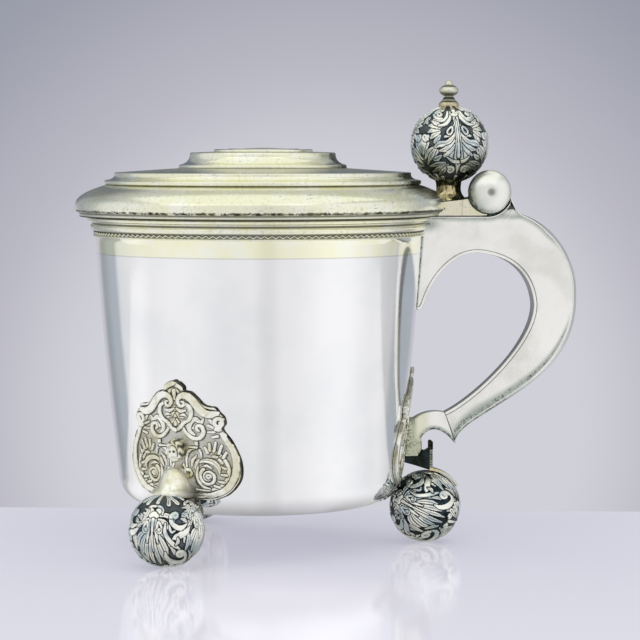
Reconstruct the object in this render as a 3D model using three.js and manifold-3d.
// A silver tankard with a hinged stepped lid, a flat-sided hollow handle, a ball thumbpiece
// and three ball feet with cast cartouches. Millimetres, +Z up, +X towards the handle.

import * as THREE from 'three';
import { mergeVertices } from 'three/addons/utils/BufferGeometryUtils.js';
import Module from 'manifold-3d';

const wasm = await Module();
wasm.setup();

// Driving dimensions: body
const BODY_TOP_Z = 141.3;
const UNDERSIDE_Z = 19.5;
const MOUTH_R = 70.2;
const FOOT_R = 60.3;
const CORNER_R = 12.5;
const WALL_BOW = 0.85;
const BOTTOM_SAG = 0.6;
const WALL = 1.2;
const RIM_SEAT = 0.5;

// Driving dimensions: rim mouldings, as distances out from the mouth and heights below the lip
const LIP_OUT = 3.2;
const OVOLO_OUT = 1.0;
const RIM_WIRE_OUT = 0.5;
const RIM_WIRE_TOP = 5.5;
const RIM_WIRE_HEIGHT = 1.7;
const RIM_HEIGHT = 8.0;

// Driving dimensions: lid, as distances beyond the lip and in from the lid's widest round
const LID_OVERHANG = 5.6;
const LID_TURN_IN = 2.5;
const LEDGE_IN = 11.3;
const PLATEAU_IN = 15.6;
const LID_GAP = 0.4;
const LID_WALL = 1.2;
const UPPER_LEDGE_R = 35.9;
const CROWN_R = 31.2;
const MEDALLION_R = 21.2;
const BEZEL_DEPTH = 5.6;
const BEZEL_WALL = 1.3;
const BEZEL_CLEARANCE = 0.8;

// Driving dimensions: hinge
const HINGE_OUT = 19.2;
const HINGE_RISE = 10.7;
const KNUCKLE_R = 7.5;
const KNUCKLE_LENGTH = 3.2;
const KNUCKLE_GAP = 0.3;
const PIN_R = 2.2;
const CAP_R = 8.9;
const CAP_HEIGHT = 6.4;
const LEAF_RISE = 7.2;
const LEAF_SLOPE = 0.115;

// Driving dimensions: thumbpiece
const THUMB_OUT = 2.7;
const THUMB_BALL_R = 16.9;
const THUMB_BALL_RISE = 31.2;
const STEM_R = 5.4;
const STEM_FOOT_R = 7.8;
const FINIAL_R = 4.1;

// Driving dimensions: handle, drawn from the hinge axis outwards and from the body's lip downwards,
// with its spur and mitre out from the middle of the foot ball
const HANDLE_REACH = 38.0;
const HANDLE_BREADTH = 18.2;
const HANDLE_TOP_WIDTH = 17.2;
const HANDLE_END_WIDTH = 11.0;
const SPUR_OUT = 12.6;
const MITRE_OUT = 8.8;
const BACK_STRAP = 0.9;
const INNER_STRAP = 1.6;
const TOP_PLATE = 1.2;
const SIDE_PLATE = 1.2;
const SIDE_RECESS = 0.35;

// Driving dimensions: feet
const BALL_R = 15.75;
const BALL_WEAR = 0.25;
const FOOT_ANGLES = { handle: 0, front: -125, rear: 112 };
const CARTOUCHE_FIELD = 1.2;
const CARTOUCHE_BORDER = 2.0;
const CARTOUCHE_RISE = 7.7;
const CHEST_RISE = 13.75;
const CHEST_SINK = 4.4;
const CHEST_LAP = 2.9;
const CHEST_HALF_WIDTH = 8.5;
const MASK_RISE = 5.0;
const TONGUE = 1.6;
const WEB_WIDTH = 10;

// Fits and fineness
const GAP = 0.3;
const ROUND = 36;
const SMALL_ROUND = 18;
const FINE_ROUND = 14;
const ARC_STEPS = 6;

// Places that follow from the driving dimensions
const CORNER = { r: FOOT_R - CORNER_R, z: UNDERSIDE_Z + CORNER_R };
const LIP_R = MOUTH_R + LIP_OUT;
const OVOLO_R = MOUTH_R + OVOLO_OUT;
const RIM_WIRE_R = MOUTH_R + RIM_WIRE_OUT;
const LID_R = LIP_R + LID_OVERHANG;
const LID_LIP_R = LID_R - LID_TURN_IN;
const LEDGE_R = LID_R - LEDGE_IN;
const PLATEAU_R = LID_R - PLATEAU_IN;
const LID_BASE_Z = BODY_TOP_Z + LID_GAP;
const HINGE = { x: LID_R + HINGE_OUT, z: BODY_TOP_Z + HINGE_RISE };
const CRADLE_R = HINGE_RISE;
const HINGE_LENGTH = 5 * KNUCKLE_LENGTH + 4 * KNUCKLE_GAP;
const THUMB = { x: LID_R + THUMB_OUT, z: BODY_TOP_Z + THUMB_BALL_RISE };
const HANDLE_MAX_X = HINGE.x + HANDLE_REACH;
const BALL_Z = BALL_R - BALL_WEAR;
const BALL_TOP_Z = BALL_Z + BALL_R;
const CARTOUCHE_LOW_Z = UNDERSIDE_Z + CARTOUCHE_RISE;
const CHEST_TOP_Z = BALL_TOP_Z + CHEST_RISE;
const MASK_Z = CHEST_TOP_Z + MASK_RISE;
const SPUR_Z = CHEST_TOP_Z - 0.5;
const COLUMN_Z = SPUR_Z - 1.3;
const BALL_TO_CORNER = CORNER_R + BALL_R + GAP;
const FOOT_RADIUS = CORNER.r + Math.sqrt(BALL_TO_CORNER ** 2 - (CORNER.z - BALL_Z) ** 2);

// Materials
const metal = (color, roughness) => new THREE.MeshStandardMaterial({ color, roughness, metalness: 1 });
const polishedSilver = metal(0xe6e6e8, 0.14);
const giltSilver = metal(0xcfc9a4, 0.22);
const satinSilver = metal(0xb9b6ac, 0.38);
const oxidisedSilver = metal(0x8b9090, 0.45);
const castSilver = metal(0xb5ad94, 0.36);

// Solids from three.js geometry, and back

function solid(geometry) {
  const bare = geometry.clone();
  bare.deleteAttribute('normal');
  bare.deleteAttribute('uv');
  const merged = mergeVertices(bare, 1e-5);
  const index = merged.index.array;
  const corners = [];
  for (let i = 0; i < index.length; i += 3) {
    const [a, b, c] = [index[i], index[i + 1], index[i + 2]];
    if (a !== b && b !== c && c !== a) corners.push(a, b, c);
  }
  return new wasm.Manifold(new wasm.Mesh({
    numProp: 3,
    vertProperties: new Float32Array(merged.attributes.position.array),
    triVerts: new Uint32Array(corners),
  }));
}

function geometryOf(manifold) {
  const mesh = manifold.getMesh();
  const geometry = new THREE.BufferGeometry();
  geometry.setAttribute('position', new THREE.BufferAttribute(mesh.vertProperties, 3));
  geometry.setIndex(new THREE.BufferAttribute(mesh.triVerts, 1));
  geometry.computeVertexNormals();
  return geometry;
}

function piece(name, manifold, material) {
  const mesh = new THREE.Mesh(geometryOf(manifold), material);
  mesh.name = name;
  return mesh;
}

// A closed profile of [radius, height] pairs turned about the vertical axis
function revolve(profile, segments = ROUND) {
  const points = profile.map(([r, z]) => new THREE.Vector2(r, z));
  if (THREE.ShapeUtils.area(points) < 0) points.reverse();
  const onAxis = points.findIndex((point, i) => point.x === 0 && points.at(i - 1).x === 0);
  const ordered = onAxis < 0 ? points : [...points.slice(onAxis), ...points.slice(0, onAxis)];
  if (onAxis < 0) ordered.push(ordered[0].clone());
  return solid(new THREE.LatheGeometry(ordered, segments).rotateX(Math.PI / 2));
}

// An outline in the X-Z plane, thick in Y and centred on y = middle
function prism(points, thickness, middle = 0) {
  const shape = new THREE.Shape(points.map(([x, z]) => new THREE.Vector2(x, z)));
  const geometry = new THREE.ExtrudeGeometry(shape, { depth: thickness, bevelEnabled: false });
  return solid(geometry.rotateX(Math.PI / 2).translate(0, middle + thickness / 2, 0));
}

function ball(radius, x, z, segments = SMALL_ROUND, rings = 12) {
  return solid(new THREE.SphereGeometry(radius, segments, rings).rotateX(Math.PI / 2).translate(x, 0, z));
}

function turned(manifold, degrees) {
  return manifold.rotate([0, 0, degrees]);
}

const pairs = (points) => points.map((point) => [point.x, point.y]);

// Steps along a cubic curve between two points, its first point left out
function bend(from, control1, control2, to, steps = 2 * ARC_STEPS) {
  const controls = [from, control1, control2, to].map((p) => new THREE.Vector2(...p));
  const curve = new THREE.CubicBezierCurve(...controls);
  return pairs(curve.getPoints(steps)).slice(1);
}

// Steps along a round stretch, with angles in degrees
function arc(x, z, radius, start, end, steps = ARC_STEPS) {
  return Array.from({ length: steps + 1 }, (_, i) => {
    const angle = THREE.MathUtils.degToRad(start + ((end - start) * i) / steps);
    return [x + radius * Math.cos(angle), z + radius * Math.sin(angle)];
  });
}

// A line of points moved sideways: to its left when the distance is positive
function beside(points, distance) {
  return points.map(([x, z], i) => {
    const before = points[Math.max(i - 1, 0)];
    const after = points[Math.min(i + 1, points.length - 1)];
    const length = Math.hypot(after[0] - before[0], after[1] - before[1]);
    const step = distance / length;
    return [x - step * (after[1] - before[1]), z + step * (after[0] - before[0])];
  });
}

// Body: the outside radius of its wall, tapering down with a slight outward bow

function wallRadius(z) {
  const share = THREE.MathUtils.clamp((z - CORNER.z) / (BODY_TOP_Z - CORNER.z), 0, 1);
  return FOOT_R + (MOUTH_R - FOOT_R) * share + WALL_BOW * Math.sin(Math.PI * share);
}

// The body's outer profile moved outwards by a distance, from the bottom's centre to a height
function bodyProfile(outwards, topZ) {
  const bottomZ = UNDERSIDE_Z - outwards;
  const corner = arc(CORNER.r, CORNER.z, CORNER_R + outwards, -90, 0, 4);
  const levels = 5;
  const wall = Array.from({ length: levels }, (_, i) => {
    const z = CORNER.z + ((topZ - CORNER.z) * (i + 1)) / levels;
    return [wallRadius(z) + outwards, z];
  });
  return [[0, bottomZ - BOTTOM_SAG], ...corner, ...wall];
}

// Everything inside the body's outer surface moved outwards, as one plug
function bodyEnvelope(outwards) {
  const profile = bodyProfile(outwards, BODY_TOP_Z);
  return revolve([...profile, [0, BODY_TOP_Z]]);
}

function makeBarrel() {
  const seatZ = BODY_TOP_Z - RIM_HEIGHT;
  const seatR = wallRadius(BODY_TOP_Z) - RIM_SEAT;
  const outside = [...bodyProfile(0, seatZ), [seatR, seatZ], [seatR, BODY_TOP_Z]];
  const inside = bodyProfile(-WALL, BODY_TOP_Z);
  return revolve([...outside, ...inside.reverse()]);
}

// Rim mouldings, ring after ring down from the lip

const rimInnerR = wallRadius(BODY_TOP_Z) - RIM_SEAT + GAP;

function makeRimMoulding() {
  const bottomZ = BODY_TOP_Z - RIM_WIRE_TOP;
  return revolve([
    [rimInnerR, bottomZ],
    [OVOLO_R - 0.5, bottomZ],
    [OVOLO_R, bottomZ + 1.3],
    [OVOLO_R - 0.4, bottomZ + 2.6],
    [OVOLO_R - 0.1, BODY_TOP_Z - 2.2],
    [LIP_R, BODY_TOP_Z - 1.1],
    [LIP_R, BODY_TOP_Z],
    [rimInnerR, BODY_TOP_Z],
  ]);
}

function makeRimWire() {
  const topZ = BODY_TOP_Z - RIM_WIRE_TOP;
  const bottomZ = topZ - RIM_WIRE_HEIGHT;
  return revolve([
    [rimInnerR, bottomZ],
    [RIM_WIRE_R, bottomZ],
    [RIM_WIRE_R, topZ],
    [rimInnerR, topZ],
  ]);
}

function makeRimBead() {
  const topZ = BODY_TOP_Z - RIM_WIRE_TOP - RIM_WIRE_HEIGHT;
  const bottomZ = BODY_TOP_Z - RIM_HEIGHT;
  return revolve([
    [rimInnerR, bottomZ],
    [RIM_WIRE_R - 0.3, bottomZ],
    [RIM_WIRE_R - 0.3, topZ],
    [rimInnerR, topZ],
  ]);
}

// Lid: heights are above its lower edge

const LEDGE_RISE = 13.5;
const PLATEAU_RISE = 18.5;
const UPPER_LEDGE_RISE = 20.4;
const CROWN_RISE = 27.4;

function quarterCove(fromR, fromZ, toR, toZ, steps = 2) {
  return pairs(new THREE.QuadraticBezierCurve(
    new THREE.Vector2(fromR, fromZ),
    new THREE.Vector2(toR, fromZ),
    new THREE.Vector2(toR, toZ),
  ).getPoints(steps));
}

// The lid's outer profile above the bulge's crest, from the edge to the crown's rim
function lidSteps() {
  const z = LID_BASE_Z;
  return [
    [LID_R - 0.9, z + 7.1],
    [LID_R - 2.9, z + 9.3],
    [LEDGE_R + 3.6, z + LEDGE_RISE - 1.5],
    [LEDGE_R - 0.6, z + LEDGE_RISE],
    [LEDGE_R, z + LEDGE_RISE + 0.4],
    [LEDGE_R, z + LEDGE_RISE + 1.3],
    [LEDGE_R - 0.7, z + LEDGE_RISE + 1.8],
    ...quarterCove(LEDGE_R - 1.5, z + LEDGE_RISE + 1.9, PLATEAU_R, z + PLATEAU_RISE - 0.3),
    [PLATEAU_R - 0.5, z + PLATEAU_RISE],
    [UPPER_LEDGE_R, z + UPPER_LEDGE_RISE],
    [UPPER_LEDGE_R, z + UPPER_LEDGE_RISE + 1.2],
    [UPPER_LEDGE_R - 0.5, z + UPPER_LEDGE_RISE + 1.6],
    ...quarterCove(UPPER_LEDGE_R - 1.0, z + UPPER_LEDGE_RISE + 1.7, CROWN_R, z + CROWN_RISE - 0.8),
    [CROWN_R - 0.6, z + CROWN_RISE - 0.4],
    [MEDALLION_R + 1.0, z + CROWN_RISE],
    [0, z + CROWN_RISE],
  ];
}

// The lower edge and the round of the bulge
function lidEdge(outwards = 0) {
  const z = LID_BASE_Z;
  return [
    [LID_LIP_R + outwards, z - outwards],
    [LID_LIP_R + outwards, z + 1.4],
    [LID_R - 1.1 + outwards, z + 3.5],
    [LID_R + outwards, z + 5.1],
  ];
}

function lidEnvelope(outwards) {
  const steps = lidSteps().map(([r, z]) => [r === 0 ? 0 : r + outwards, z + outwards]);
  return revolve([[0, LID_BASE_Z - outwards], ...lidEdge(outwards), ...steps]);
}

// The shell's inside follows the steps one wall further in, with plain corners
function makeLidShell() {
  const z = LID_BASE_Z - LID_WALL;
  const inside = [
    [LID_LIP_R - LID_WALL, LID_BASE_Z],
    [LID_LIP_R - LID_WALL, LID_BASE_Z + 2.2],
    [LID_R - LID_WALL - 0.6, LID_BASE_Z + 4.8],
    [LEDGE_R + 3.6 - LID_WALL, z + LEDGE_RISE - 1.5],
    [LEDGE_R - 0.6 - LID_WALL, z + LEDGE_RISE],
    [PLATEAU_R - LID_WALL, z + LEDGE_RISE + 2.1],
    [PLATEAU_R - LID_WALL, z + PLATEAU_RISE],
    [UPPER_LEDGE_R - LID_WALL, z + UPPER_LEDGE_RISE],
    [CROWN_R - LID_WALL, z + UPPER_LEDGE_RISE + 1.7],
    [CROWN_R - LID_WALL, z + CROWN_RISE - 0.6],
    [0, z + CROWN_RISE],
  ];
  return revolve([...lidEdge(), ...lidSteps(), ...inside.reverse()]);
}

const mouthInnerR = wallRadius(BODY_TOP_Z - BEZEL_DEPTH) - WALL;

function makeLidBezel() {
  const outerR = mouthInnerR - BEZEL_CLEARANCE;
  const flangeR = LID_LIP_R - LID_WALL - GAP;
  const bottomZ = LID_BASE_Z - BEZEL_DEPTH;
  const flangeZ = LID_BASE_Z + BEZEL_WALL;
  return revolve([
    [outerR - BEZEL_WALL, bottomZ],
    [outerR, bottomZ],
    [outerR, LID_BASE_Z],
    [flangeR, LID_BASE_Z],
    [flangeR, flangeZ],
    [outerR - BEZEL_WALL, flangeZ],
  ]);
}

function makeLidMedallion() {
  const z = LID_BASE_Z + CROWN_RISE;
  return revolve([
    [0, z],
    [MEDALLION_R, z],
    [MEDALLION_R, z + 0.8],
    [MEDALLION_R - 0.6, z + 1.0],
    [MEDALLION_R * 0.5, z + 1.5],
    [0, z + 1.7],
  ]);
}

// Hinge: five tube knuckles in a row along Y, a pin through them and a domed cap at each end

const knuckleY = (place) => (place - 2) * (KNUCKLE_LENGTH + KNUCKLE_GAP);
const boreR = PIN_R + GAP;

function hingeBore(length = 2 * HINGE_LENGTH) {
  return prism(arc(HINGE.x, HINGE.z, boreR, 0, 340, 17), length);
}

// A handle knuckle has a root that fills the space down to the handle's cradle
function makeHandleKnuckle(place) {
  const rootR = CRADLE_R - GAP;
  const outline = [
    ...arc(HINGE.x, HINGE.z, KNUCKLE_R, -12, 250, 13),
    ...arc(HINGE.x, HINGE.z, rootR, 250, 348, 5),
  ];
  return prism(outline, KNUCKLE_LENGTH, knuckleY(place)).subtract(hingeBore());
}

// A lid knuckle is a plain round of tube, held in the hollow end of the lid's hinge leaf
function makeLidKnuckle(place) {
  const round = arc(HINGE.x, HINGE.z, KNUCKLE_R, 0, 340, 17);
  return prism(round, KNUCKLE_LENGTH, knuckleY(place)).subtract(hingeBore());
}

function makeHingePin() {
  return prism(arc(HINGE.x, HINGE.z, PIN_R, 0, 340, 17), HINGE_LENGTH);
}

// The caps are turned domes with a rounded edge, their flat backs against the outer knuckles
function makeHingeCap(side) {
  const dome = [[0, 0], [CAP_R - 0.5, 0], [CAP_R, 0.6]];
  for (let i = 1; i <= ARC_STEPS; i += 1) {
    const angle = (Math.PI / 2) * (i / ARC_STEPS);
    dome.push([i === ARC_STEPS ? 0 : CAP_R * Math.cos(angle), 0.6 + (CAP_HEIGHT - 0.6) * Math.sin(angle)]);
  }
  const upright = revolve(dome, SMALL_ROUND);
  const level = upright.rotate([side < 0 ? 90 : -90, 0, 0]);
  return level.translate([HINGE.x, (side * HINGE_LENGTH) / 2, HINGE.z]);
}

// The lid's hinge leaf: a wedge from the lid's bulge to the knuckles, above the handle's top
const leafTopZ = (x) => BODY_TOP_Z + LEAF_RISE + (x - THUMB.x) * LEAF_SLOPE;

function leafOutline(outwards = 0) {
  const left = LID_LIP_R - 4;
  const right = HINGE.x - 5.6;
  const bottom = LID_BASE_Z + 0.2;
  return [
    [left, bottom - outwards],
    [right + outwards, bottom - outwards],
    [right + outwards, leafTopZ(right) + outwards],
    [left, leafTopZ(left) + outwards],
  ];
}

function makeLidHingeLeaf() {
  const knuckleRoom = prism(arc(HINGE.x, HINGE.z, KNUCKLE_R + GAP, 0, 345, 23), 2 * HINGE_LENGTH);
  const width = HINGE_LENGTH - 2 * KNUCKLE_GAP;
  return prism(leafOutline(), width).subtract(lidEnvelope(GAP)).subtract(knuckleRoom);
}

// Thumbpiece: a stem on the leaf and the lid's bulge, a ball, and a turned finial

function makeThumbpieceStem() {
  const footZ = BODY_TOP_Z + 5;
  const topZ = THUMB.z - THUMB_BALL_R + 2.2;
  const leafZ = leafTopZ(THUMB.x);
  const turning = revolve([
    [0, footZ],
    [STEM_FOOT_R, footZ],
    [STEM_FOOT_R, leafZ + 0.6],
    [STEM_FOOT_R - 0.8, leafZ + 1.6],
    [STEM_R, leafZ + 3.4],
    [STEM_R - 0.3, leafZ + 5.0],
    [STEM_R, topZ - 1.6],
    [STEM_R + 0.9, topZ],
    [0, topZ],
  ], SMALL_ROUND).translate([THUMB.x, 0, 0]);
  const leafRoom = prism(leafOutline(GAP), HINGE_LENGTH + 2);
  const ballRoom = ball(THUMB_BALL_R + GAP, THUMB.x, THUMB.z);
  const whole = turning.subtract(lidEnvelope(GAP)).subtract(leafRoom).subtract(ballRoom);
  return whole.decompose().reduce((a, b) => (a.volume() > b.volume() ? a : b));
}

function makeThumbpieceBall() {
  return ball(THUMB_BALL_R, THUMB.x, THUMB.z);
}

function makeThumbpieceFinial() {
  const z = THUMB.z + THUMB_BALL_R;
  const knob = arc(0, z + 6.4, FINIAL_R, -40, 40, 3).map(([r, h]) => [r, z + 6.4 + (h - z - 6.4) * 0.75]);
  return revolve([
    [0, z - 1],
    [FINIAL_R - 0.6, z - 1],
    [FINIAL_R - 0.3, z + 1.4],
    [FINIAL_R - 1.5, z + 2.4],
    [FINIAL_R - 1.6, z + 3.4],
    [FINIAL_R - 1.2, z + 4.2],
    ...knob,
    [1.3, z + 8.3],
    [1.65, z + 9.2],
    [1.2, z + 10.2],
    [0, z + 10.6],
  ], FINE_ROUND).translate([THUMB.x, 0, 0]).subtract(ball(THUMB_BALL_R + GAP, THUMB.x, THUMB.z));
}

// Handle: outlines in the X-Z plane. hx counts outwards from the hinge axis, and hz counts
// down from the lip in hundredths of the handle's depth.

const HANDLE_DEPTH = BODY_TOP_Z - SPUR_Z;
const PEAK_Z = BODY_TOP_Z + 8.5;
const INSIDE_X = CORNER.r;
const hx = (out) => HINGE.x + out;
const hz = (down) => BODY_TOP_Z - (down / 100) * HANDLE_DEPTH;

// The outer edge, from the peak behind the hinge round to the spur at the lower end
function outerEdge() {
  const peak = [hx(10.5), PEAK_Z];
  const shoulder = [hx(14.3), PEAK_Z - 6];
  const widest = [hx(HANDLE_REACH), hz(37.3)];
  const waist = [hx(5.3), hz(83)];
  const spur = [FOOT_RADIUS + SPUR_OUT, hz(100)];
  return [
    peak,
    [hx(11.9), PEAK_Z - 4],
    shoulder,
    ...bend(shoulder, [hx(0.69 * HANDLE_REACH), hz(4)], [hx(HANDLE_REACH), hz(20)], widest),
    ...bend(widest, [hx(HANDLE_REACH), hz(57.6)], [hx(0.48 * HANDLE_REACH), hz(75)], waist),
    ...bend(waist, [hx(-1.6), hz(87.3)], [spur[0] + 4.1, hz(94.1)], spur, ARC_STEPS),
  ];
}

// The finger loop's edge, from the body round to the mitre above the terminal
function loopEdge() {
  const reach = HANDLE_REACH - HANDLE_BREADTH;
  const web = [hx(-30.2), hz(41.6)];
  const top = [hx(-3.5), hz(15.3)];
  const side = [hx(reach), hz(37.5)];
  const mitre = [FOOT_RADIUS + MITRE_OUT, hz(85.7)];
  return [
    web,
    ...bend(web, [hx(-23.7), hz(35)], [hx(-19.7), hz(15.3)], top),
    ...bend(top, [hx(0.47 * reach), hz(15.3)], [hx(reach), hz(25.1)], side),
    ...bend(side, [hx(reach), hz(54)], [hx(0.3), hz(70)], mitre),
  ];
}

const halfWidth = (z) => {
  const share = (BODY_TOP_Z - z) / HANDLE_DEPTH;
  return (HANDLE_TOP_WIDTH + (HANDLE_END_WIDTH - HANDLE_TOP_WIDTH) * share) / 2;
};

// The handle's tapering thickness, less an inset on both sides
function taper(inset) {
  const low = SPUR_Z - 20;
  const high = PEAK_Z + 10;
  const geometry = new THREE.BoxGeometry(200, 2, high - low).translate(100, 0, (high + low) / 2);
  const position = geometry.attributes.position;
  for (let i = 0; i < position.count; i += 1) {
    position.setY(i, Math.sign(position.getY(i)) * (halfWidth(position.getZ(i)) - inset));
  }
  return solid(geometry);
}

const THICK = 60;

// Everything inboard of the outer edge
function outerRegion(inset) {
  const edge = beside(outerEdge(), -inset);
  const end = edge.at(-1);
  return prism([...edge, [end[0] - 8, end[1] - 12], [INSIDE_X, end[1] - 12], [INSIDE_X, PEAK_Z + 20],
    [edge[0][0], PEAK_Z + 20]], THICK);
}

// Everything inside the finger loop
function loopRegion(inset) {
  const edge = beside(loopEdge(), inset);
  const end = edge.at(-1);
  return prism([[INSIDE_X, edge[0][1] - 4], edge[0], ...edge.slice(1), [end[0] - 8, end[1] - 7],
    [INSIDE_X, end[1] - 7]], THICK);
}

// What lies above the flat top and inside the hinge's cradle
function aboveTop(inset) {
  const high = PEAK_Z + 50;
  const topZ = BODY_TOP_Z - inset;
  const peakZ = PEAK_Z - inset;
  const flat = prism([[0, topZ], [HINGE.x, topZ], [HINGE.x, high], [0, high]], THICK);
  const cradle = prism(arc(HINGE.x, HINGE.z, CRADLE_R + inset, 0, 348, 29), THICK);
  const peak = prism([[0, peakZ], [HANDLE_MAX_X, peakZ], [HANDLE_MAX_X, high], [0, high]], THICK);
  return flat.add(cradle).add(peak);
}

// The terminal's side of the mitre, which runs from the loop's end to the spur
function terminalSide(shift) {
  const top = loopEdge().at(-1);
  const spur = outerEdge().at(-1);
  const lean = (top[0] - spur[0]) / (top[1] - spur[1]);
  const line = (z) => spur[0] + lean * (z - spur[1]) + shift;
  return prism([[line(spur[1] - 30), spur[1] - 30], [line(top[1] + 9), top[1] + 9], [0, top[1] + 9],
    [0, spur[1] - 30]], THICK);
}

const rimRoom = () => revolve([
  [0, BODY_TOP_Z - RIM_HEIGHT - GAP],
  [LIP_R + GAP, BODY_TOP_Z - RIM_HEIGHT - GAP],
  [LIP_R + GAP, LID_BASE_Z],
  [0, LID_BASE_Z],
]);

const bodyRoom = () => bodyEnvelope(GAP).add(rimRoom());

function makeHandleSide(side) {
  const slab = taper(SIDE_RECESS).subtract(taper(SIDE_RECESS + SIDE_PLATE));
  const half = solid(new THREE.BoxGeometry(400, THICK, 400).translate(100, (side * THICK) / 2, 80));
  return outerRegion(BACK_STRAP + GAP)
    .subtract(loopRegion(INNER_STRAP + GAP))
    .subtract(aboveTop(TOP_PLATE + GAP))
    .subtract(terminalSide(GAP))
    .intersect(slab)
    .intersect(half)
    .subtract(bodyRoom());
}

function makeHandleBackStrap() {
  return outerRegion(0)
    .subtract(outerRegion(BACK_STRAP))
    .subtract(aboveTop(0))
    .subtract(terminalSide(GAP))
    .intersect(taper(0));
}

function makeHandleInnerStrap() {
  return loopRegion(INNER_STRAP)
    .subtract(loopRegion(0))
    .subtract(terminalSide(GAP))
    .intersect(taper(0))
    .subtract(bodyRoom());
}

function makeHandleTopPlate() {
  return aboveTop(TOP_PLATE)
    .subtract(aboveTop(0))
    .intersect(outerRegion(BACK_STRAP + GAP))
    .intersect(taper(0))
    .subtract(bodyRoom());
}

// The cast terminal: a scrolled block from the mitre to the column on the cartouche
const columnX = FOOT_RADIUS + SPUR_OUT - 15.4;

function makeHandleTerminal() {
  const top = loopEdge().at(-1);
  const spur = outerEdge().at(-1);
  const notch = [spur[0] - 14.8, spur[1] + 1.2];
  const outline = [
    top,
    ...bend(top, [top[0] - 4, top[1] + 0.9], [top[0] - 9, top[1] + 0.6], [top[0] - 13.3, top[1] - 2.6], 6),
    [CORNER.r, top[1] - 2.6],
    [CORNER.r, COLUMN_Z],
    [columnX, COLUMN_Z],
    notch,
    ...bend(notch, [spur[0] - 10.5, spur[1] + 6.6], [spur[0] - 5.2, spur[1] + 6.6], spur, 8),
  ];
  return prism(outline, THICK).intersect(taper(0)).subtract(bodyEnvelope(CARTOUCHE_BORDER + 2 * GAP));
}

// Feet: each is drawn at angle 0, out along +X, and turned to its place

// Right half of the cartouche's outline, out from its middle line and up from its lower edge
function cartoucheHalf() {
  return [
    [4.6, 46.6],
    [8.5, 45.0],
    [12.3, 42.2],
    [17.6, 38.2],
    [22.6, 33.8],
    [20.9, 30.1],
    [22.4, 27.0],
    [25.6, 22.3],
    [27.2, 17.4],
    [27.2, 13.0],
    [25.8, 7.8],
    [22.6, 3.4],
    [18.2, 0.8],
    [14.2, 0],
  ];
}

// The outline as a smooth closed line with a pointed crest, drawn in towards its middle by a share
function cartoucheOutline(share) {
  const middle = 22.8;
  const half = cartoucheHalf();
  const crest = [2.3, 48.4];
  const edge = new THREE.SplineCurve([crest, ...half].map((p) => new THREE.Vector2(...p)));
  const right = pairs(edge.getPoints(20));
  const left = right.map(([u, up]) => [-u, up]).reverse();
  const line = [[0, 49.2], ...right, ...left];
  return line.map(([u, up]) => [u * share, CARTOUCHE_LOW_Z + middle + (up - middle) * share]);
}

// An outline of [across, up] pairs, pushed radially through the body's wall
function radialPrism(points) {
  const shape = new THREE.Shape(points.map(([u, z]) => new THREE.Vector2(u, z)));
  const geometry = new THREE.ExtrudeGeometry(shape, { depth: 60, bevelEnabled: false });
  return solid(geometry.rotateX(Math.PI / 2).rotateZ(Math.PI / 2).translate(30, 0, 0));
}

function makeCartouche(angle) {
  const plate = turned(radialPrism(cartoucheOutline(1)), angle);
  const hollow = turned(radialPrism(cartoucheOutline(0.87)), angle);
  const whole = plate.intersect(bodyEnvelope(GAP + CARTOUCHE_BORDER)).subtract(bodyEnvelope(GAP));
  const recess = hollow.subtract(bodyEnvelope(GAP + CARTOUCHE_FIELD));
  const ballRoom = turned(ball(BALL_R + GAP, FOOT_RADIUS, BALL_Z), angle);
  return whole.subtract(recess).subtract(ballRoom);
}

function makeFootBall(angle) {
  const flat = solid(new THREE.BoxGeometry(60, 60, 20).translate(FOOT_RADIUS, 0, -10));
  return turned(ball(BALL_R, FOOT_RADIUS, BALL_Z).subtract(flat), angle);
}

// An egg about the chest of a foot, grown by a margin. It reaches from inside the wall out past
// the ball's middle.
function chestEgg(margin) {
  const middleZ = BALL_TOP_Z + 1.25;
  const inner = wallRadius(middleZ) - CHEST_SINK;
  const outer = FOOT_RADIUS + CHEST_LAP;
  return solid(new THREE.SphereGeometry(1, SMALL_ROUND, 12).rotateX(Math.PI / 2)
    .scale((outer - inner) / 2 + margin, CHEST_HALF_WIDTH + margin, CHEST_TOP_Z - middleZ + margin)
    .translate((outer + inner) / 2, 0, middleZ));
}

// The smooth swelling chest that carries the cartouche and the body on the ball
function makeFootChest(angle) {
  const whole = chestEgg(0).subtract(ball(BALL_R + GAP, FOOT_RADIUS, BALL_Z));
  const seated = turned(whole, angle).subtract(bodyEnvelope(CARTOUCHE_BORDER + 2 * GAP));
  return seated.decompose().reduce((a, b) => (a.volume() > b.volume() ? a : b));
}

// The foot under the handle has a narrow chest instead: a web from the terminal's column down
// to the tongue, hollowed above and arched clear of the ball below
function makeHandleFootChest() {
  const topZ = COLUMN_Z - GAP;
  const front = tongueLap()[0][0] - 2 * GAP;
  const column = [columnX, topZ];
  const toe = [front, BALL_TOP_Z + 0.9];
  const archZ = toe[1] + 3.4;
  const outline = [
    [CORNER.r, topZ],
    column,
    ...bend(column, [columnX + 0.9, topZ - 2.3], [front - 1.5, topZ - 3.0], [front, topZ - 1.7], 8),
    toe,
    ...bend(toe, [front - 2.6, toe[1] + 0.5], [front - 5.6, archZ], [front - 9.6, archZ], 8),
    [CORNER.r, archZ],
  ];
  return prism(outline, WEB_WIDTH).subtract(bodyEnvelope(CARTOUCHE_FIELD + 2 * GAP));
}

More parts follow.
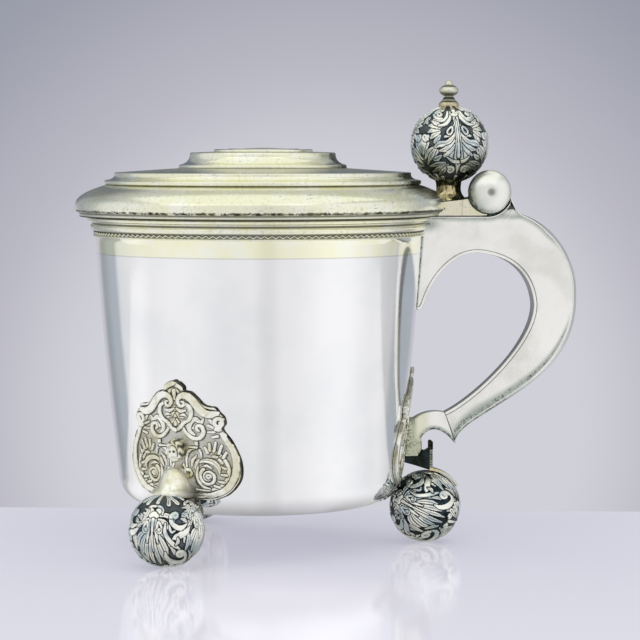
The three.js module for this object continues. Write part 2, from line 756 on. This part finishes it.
// The leaf below the body's corner, pointed inwards, lying between the body and the ball
function makeFootLeaf(angle) {
  const tip = CORNER.r - 1;
  const root = FOOT_RADIUS - 4;
  const shape = new THREE.Shape([new THREE.Vector2(tip, 0)]);
  shape.quadraticCurveTo(tip + 5, 7, root, 7);
  shape.lineTo(root, -7);
  shape.quadraticCurveTo(tip + 5, -7, tip, 0);
  const depth = CARTOUCHE_LOW_Z - 2 * GAP;
  const blade = solid(new THREE.ExtrudeGeometry(shape, { depth, bevelEnabled: false, curveSegments: 6 }));
  const whole = turned(blade.subtract(ball(BALL_R + GAP, FOOT_RADIUS, BALL_Z)), angle);
  const leaf = whole.intersect(bodyEnvelope(GAP + 1.8)).subtract(bodyEnvelope(GAP));
  return leaf.decompose().reduce((a, b) => (a.volume() > b.volume() ? a : b));
}

// The small mask on the cartouche above the chest: a plain egg, let into nothing
function makeMask(angle) {
  const face = wallRadius(MASK_Z) + GAP + CARTOUCHE_FIELD;
  const egg = new THREE.SphereGeometry(1, 14, 10).rotateX(Math.PI / 2)
    .scale(3.6, 2.8, 4.4).translate(face + 0.9, 0, MASK_Z);
  return turned(solid(egg), angle).subtract(bodyEnvelope(2 * GAP + CARTOUCHE_FIELD));
}

// The bent tongue at the handle's foot: upright in front of the chest, then down over the ball
const tongueLap = () => arc(FOOT_RADIUS, BALL_Z, BALL_R + GAP, 81, 37, 6);

function makeHandleFootTongue() {
  const lap = tongueLap();
  const outer = arc(FOOT_RADIUS, BALL_Z, BALL_R + GAP + TONGUE, 37, 77, 6);
  const upright = outer.at(-1);
  const topZ = CHEST_TOP_Z;
  const headZ = topZ - 3.4;
  return prism([
    ...lap,
    ...outer,
    [upright[0] + 0.1, headZ],
    [upright[0] + 0.4, headZ + 0.4],
    [upright[0] + 0.3, topZ - 0.3],
    [upright[0] - 0.2, topZ],
    [lap[0][0] + 0.1, topZ],
    [lap[0][0] - 0.3, topZ - 0.4],
    [lap[0][0] - 0.3, headZ + 0.4],
    [lap[0][0], headZ],
  ], 6);
}

// Assembly

const tankard = new THREE.Group();
const body = new THREE.Group();
const lid = new THREE.Group();
tankard.add(body, lid);

body.add(
  piece('barrel', makeBarrel(), polishedSilver),
  piece('rim_moulding', makeRimMoulding(), giltSilver),
  piece('rim_wire', makeRimWire(), giltSilver),
  piece('rim_bead', makeRimBead(), giltSilver),
  piece('handle_side_front', makeHandleSide(-1), satinSilver),
  piece('handle_side_rear', makeHandleSide(1), satinSilver),
  piece('handle_back_strap', makeHandleBackStrap(), satinSilver),
  piece('handle_inner_strap', makeHandleInnerStrap(), satinSilver),
  piece('handle_top_plate', makeHandleTopPlate(), satinSilver),
  piece('handle_terminal', makeHandleTerminal(), satinSilver),
  piece('handle_knuckle_front', makeHandleKnuckle(0), satinSilver),
  piece('handle_knuckle_middle', makeHandleKnuckle(2), satinSilver),
  piece('handle_knuckle_rear', makeHandleKnuckle(4), satinSilver),
  piece('hinge_pin', makeHingePin(), satinSilver),
  piece('hinge_cap_front', makeHingeCap(-1), satinSilver),
  piece('hinge_cap_rear', makeHingeCap(1), satinSilver),
  piece('handle_foot_tongue', makeHandleFootTongue(), oxidisedSilver),
);

for (const [place, angle] of Object.entries(FOOT_ANGLES)) {
  body.add(
    piece(`${place}_foot_ball`, makeFootBall(angle), oxidisedSilver),
    piece(`${place}_foot_cartouche`, makeCartouche(angle), castSilver),
    piece(
      `${place}_foot_chest`,
      place === 'handle' ? makeHandleFootChest() : makeFootChest(angle),
      castSilver,
    ),
    piece(`${place}_foot_leaf`, makeFootLeaf(angle), castSilver),
  );
  if (place !== 'handle') body.add(piece(`${place}_foot_mask`, makeMask(angle), castSilver));
}

lid.add(
  piece('lid_shell', makeLidShell(), giltSilver),
  piece('lid_bezel', makeLidBezel(), giltSilver),
  piece('lid_medallion', makeLidMedallion(), giltSilver),
  piece('lid_hinge_leaf', makeLidHingeLeaf(), satinSilver),
  piece('lid_knuckle_front', makeLidKnuckle(1), satinSilver),
  piece('lid_knuckle_rear', makeLidKnuckle(3), satinSilver),
  piece('thumbpiece_stem', makeThumbpieceStem(), satinSilver),
  piece('thumbpiece_ball', makeThumbpieceBall(), oxidisedSilver),
  piece('thumbpiece_finial', makeThumbpieceFinial(), satinSilver),
);

// The origin is on the table, below the middle of the whole length
tankard.position.x = -(HANDLE_MAX_X - LID_R) / 2;

export default tankard;
